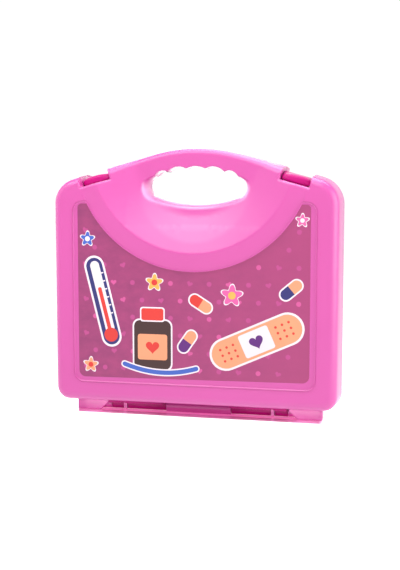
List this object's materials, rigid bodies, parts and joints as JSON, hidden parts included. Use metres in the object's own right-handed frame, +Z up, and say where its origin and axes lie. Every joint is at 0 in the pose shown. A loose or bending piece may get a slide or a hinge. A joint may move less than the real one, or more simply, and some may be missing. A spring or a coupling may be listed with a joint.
{
  "type": "toy doctor case",
  "caption": "Flat two-shell toy carry case standing on its hinge edge, with a moulded handle opening, a lid that folds forward, two top latches and a shaped tray inside.",
  "frame": {"origin": "centre of the bounding box in X and Y, on the floor the closed case stands on", "axes": "+Z up, -Y towards the lid and the viewer, +X along the case's width to the viewer's right"},
  "size_m": [0.26, 0.062, 0.241],
  "materials": {
    "shell": "semi-gloss moulded pink plastic",
    "label": "printed film, satin",
    "latch": "glossy moulded magenta plastic",
    "hinge": "glossy moulded magenta plastic",
    "tray": "thin formed pale pink sheet"
  },
  "bodies": {
    "back": {"back_shell": "shell", "inner_tray": "tray"},
    "lid": {"front_shell": "shell", "front_label": "label", "hinge_left": "hinge", "hinge_right": "hinge"},
    "latch_l": {"latch_left": "latch"},
    "latch_r": {"latch_right": "latch"}
  },
  "joints": [
    {"name": "lid_hinge", "type": "hinge", "parent": "back", "child": "lid", "pos_m": [0, 0, 0.0044], "axis": [1, 0, 0], "range_deg": [0, 180]},
    {"name": "latch_left_pivot", "type": "hinge", "parent": "back", "child": "latch_l", "pos_m": [-0.08998, 0.012, 0.2124], "axis": [-0.9622, 0, -0.2723], "range_deg": [0, 100]},
    {"name": "latch_right_pivot", "type": "hinge", "parent": "back", "child": "latch_r", "pos_m": [0.08998, 0.012, 0.2124], "axis": [-0.9622, 0, 0.2723], "range_deg": [0, 100]}
  ]
}
